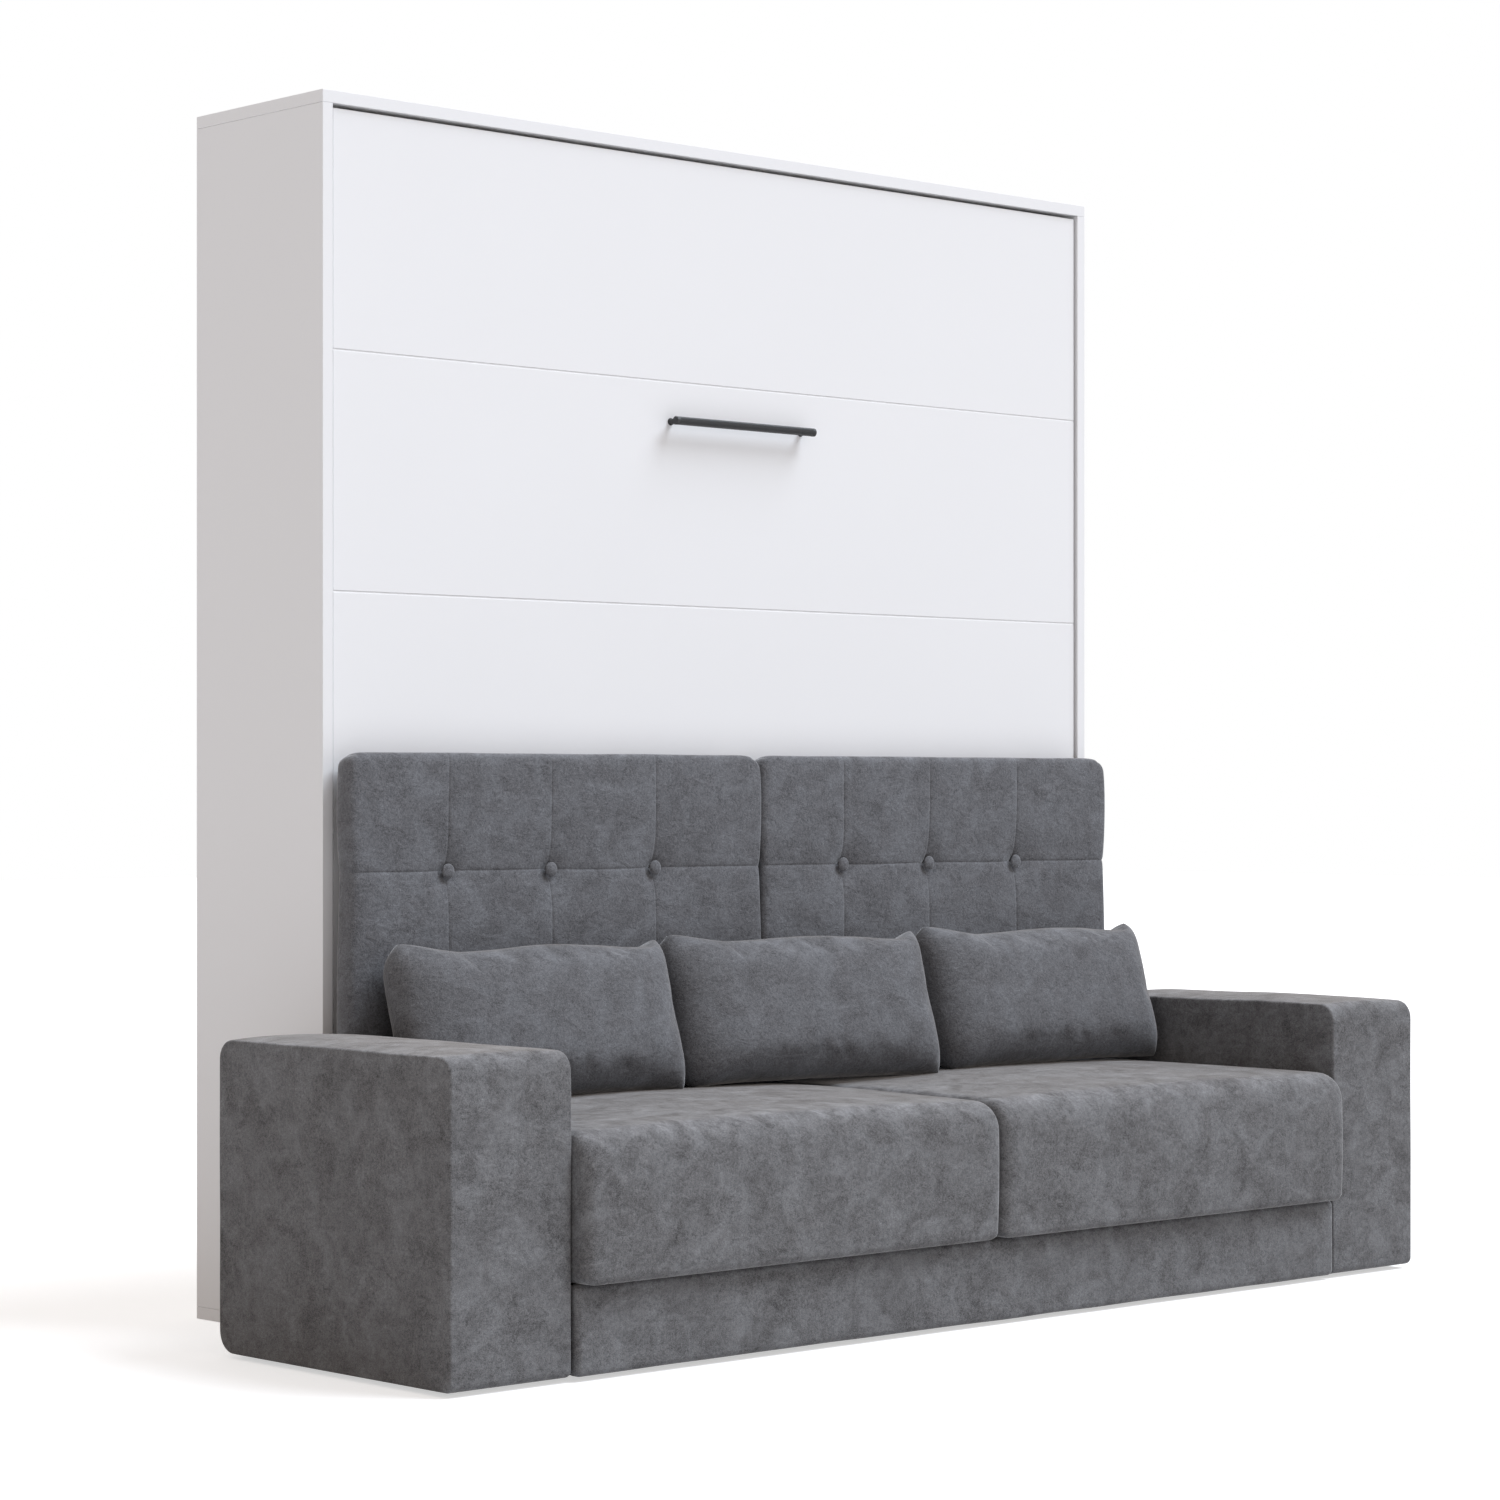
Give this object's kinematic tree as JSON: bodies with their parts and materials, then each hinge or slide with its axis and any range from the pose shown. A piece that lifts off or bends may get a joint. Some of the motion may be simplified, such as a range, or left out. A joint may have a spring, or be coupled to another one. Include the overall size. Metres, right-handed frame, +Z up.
{
  "type": "wall bed with sofa",
  "caption": "Upright double wall bed in a white cabinet with a level-boarded front, behind a grey block-arm sofa with loose seat, tufted back and lumbar cushions.",
  "frame": {"origin": "middle of the underside of the cabinet's base board, on the floor", "axes": "+X along the front to the viewer's right, +Y from the sofa towards the wall, +Z up"},
  "size_m": [2.452, 1.0889, 2.18],
  "materials": {
    "laminate": "white laminate, satin",
    "fabric": "mottled grey velour",
    "lining": "dark lining cloth",
    "bare_wood": "planed birch and beech",
    "ticking": "off-white mattress ticking",
    "webbing": "black webbing",
    "steel": "zinc-plated",
    "black_metal": "black, knurled on the handle",
    "black_plastic": "matte"
  },
  "bodies": {
    "cabinet_and_sofa": {"cabinet_base": "laminate", "cabinet_top": "laminate", "cabinet_side_left": "laminate", "cabinet_side_right": "laminate", "back_rail_upper": "laminate", "back_rail_lower": "laminate", "wall_bracket_left": "steel", "wall_bracket_right": "steel", "hinge_plate_left": "steel", "hinge_plate_right": "steel", "arm_left": "fabric", "arm_right": "fabric", "arm_runner_left": "black_plastic", "arm_runner_right": "black_plastic", "base_front": "fabric", "base_side_left": "lining", "base_side_right": "lining", "base_rear": "bare_wood", "base_middle": "bare_wood", "base_deck": "lining"},
    "bed": {"front_board_1": "laminate", "front_board_2": "laminate", "front_board_3": "laminate", "front_board_4": "laminate", "front_board_5": "laminate", "handle_bar": "black_metal", "handle_post_left": "black_metal", "handle_post_right": "black_metal", "side_rail_left": "bare_wood", "side_rail_right": "bare_wood", "head_rail": "bare_wood", "foot_rail": "bare_wood", "centre_beam": "bare_wood", "slat_grid": "bare_wood", "mattress": "ticking", "mattress_strap_lower": "webbing", "mattress_strap_upper": "webbing", "bed_plate_left": "steel", "bed_plate_right": "steel"},
    "strut_tube_left": {"strut_cylinder_left": "black_metal"},
    "strut_tube_right": {"strut_cylinder_right": "black_metal"},
    "strut_rod_left": {"strut_rod_left": "steel"},
    "strut_rod_right": {"strut_rod_right": "steel"},
    "feet": {"foot_leg_left": "black_metal", "foot_leg_right": "black_metal", "foot_shaft": "steel"},
    "seat_left": {"seat_cushion_left": "fabric"},
    "seat_right": {"seat_cushion_right": "fabric"},
    "back_left": {"back_cushion_left": "fabric", "button_left_1": "fabric", "button_left_2": "fabric", "button_left_3": "fabric"},
    "back_right": {"back_cushion_right": "fabric", "button_right_1": "fabric", "button_right_2": "fabric", "button_right_3": "fabric"},
    "pillow_left": {"pillow_left": "fabric"},
    "pillow_middle": {"pillow_middle": "fabric"},
    "pillow_right": {"pillow_right": "fabric"}
  },
  "joints": [
    {"name": "bed_hinge", "type": "hinge", "parent": "cabinet_and_sofa", "child": "bed", "pos_m": [0, -0.1255, 0.248], "axis": [1, 0, 0], "range_deg": [0, 90]},
    {"name": "strut_turn_left", "type": "hinge", "parent": "cabinet_and_sofa", "child": "strut_tube_left", "pos_m": [-0.946, -0.0655, 0.668], "axis": [1, 0, 0], "range_deg": [0, 17]},
    {"name": "strut_turn_right", "type": "hinge", "parent": "cabinet_and_sofa", "child": "strut_tube_right", "pos_m": [0.946, -0.0655, 0.668], "axis": [1, 0, 0], "range_deg": [0, 17]},
    {"name": "strut_slide_left", "type": "slide", "parent": "strut_tube_left", "child": "strut_rod_left", "axis": [0, 0.07, 0.9975], "range_m": [0, 0.162]},
    {"name": "strut_slide_right", "type": "slide", "parent": "strut_tube_right", "child": "strut_rod_right", "axis": [0, 0.07, 0.9975], "range_m": [0, 0.162]},
    {"name": "feet_fold", "type": "hinge", "parent": "bed", "child": "feet", "pos_m": [0, -0.0805, 2.109], "axis": [1, 0, 0], "range_deg": [0, 270]},
    {"name": "seat_left_off", "type": "slide", "parent": "cabinet_and_sofa", "child": "seat_left", "axis": [0, -1, 0], "range_m": [0, 2.71]},
    {"name": "seat_right_off", "type": "slide", "parent": "cabinet_and_sofa", "child": "seat_right", "axis": [0, -1, 0], "range_m": [0, 2.71]},
    {"name": "back_left_off", "type": "slide", "parent": "cabinet_and_sofa", "child": "back_left", "axis": [0, -1, 0], "range_m": [0, 2.71]},
    {"name": "back_right_off", "type": "slide", "parent": "cabinet_and_sofa", "child": "back_right", "axis": [0, -1, 0], "range_m": [0, 2.71]},
    {"name": "pillow_left_off", "type": "slide", "parent": "cabinet_and_sofa", "child": "pillow_left", "axis": [0, -1, 0], "range_m": [0, 2.71]},
    {"name": "pillow_middle_off", "type": "slide", "parent": "cabinet_and_sofa", "child": "pillow_middle", "axis": [0, -1, 0], "range_m": [0, 2.71]},
    {"name": "pillow_right_off", "type": "slide", "parent": "cabinet_and_sofa", "child": "pillow_right", "axis": [0, -1, 0], "range_m": [0, 2.71]}
  ],
  "couplings": [
    {"joint": "strut_turn_left", "follows": "bed_hinge", "ratio": 0.18547},
    {"joint": "strut_turn_right", "follows": "bed_hinge", "ratio": 0.18547},
    {"joint": "strut_slide_left", "follows": "bed_hinge", "m_per_rad": 0.10276},
    {"joint": "strut_slide_right", "follows": "bed_hinge", "m_per_rad": 0.10276},
    {"joint": "feet_fold", "follows": "bed_hinge", "ratio": 3},
    {"joint": "seat_left_off", "follows": "bed_hinge", "m_per_rad": 1.72},
    {"joint": "seat_right_off", "follows": "bed_hinge", "m_per_rad": 1.72},
    {"joint": "back_left_off", "follows": "bed_hinge", "m_per_rad": 1.72},
    {"joint": "back_right_off", "follows": "bed_hinge", "m_per_rad": 1.72},
    {"joint": "pillow_left_off", "follows": "bed_hinge", "m_per_rad": 1.72},
    {"joint": "pillow_middle_off", "follows": "bed_hinge", "m_per_rad": 1.72},
    {"joint": "pillow_right_off", "follows": "bed_hinge", "m_per_rad": 1.72}
  ]
}
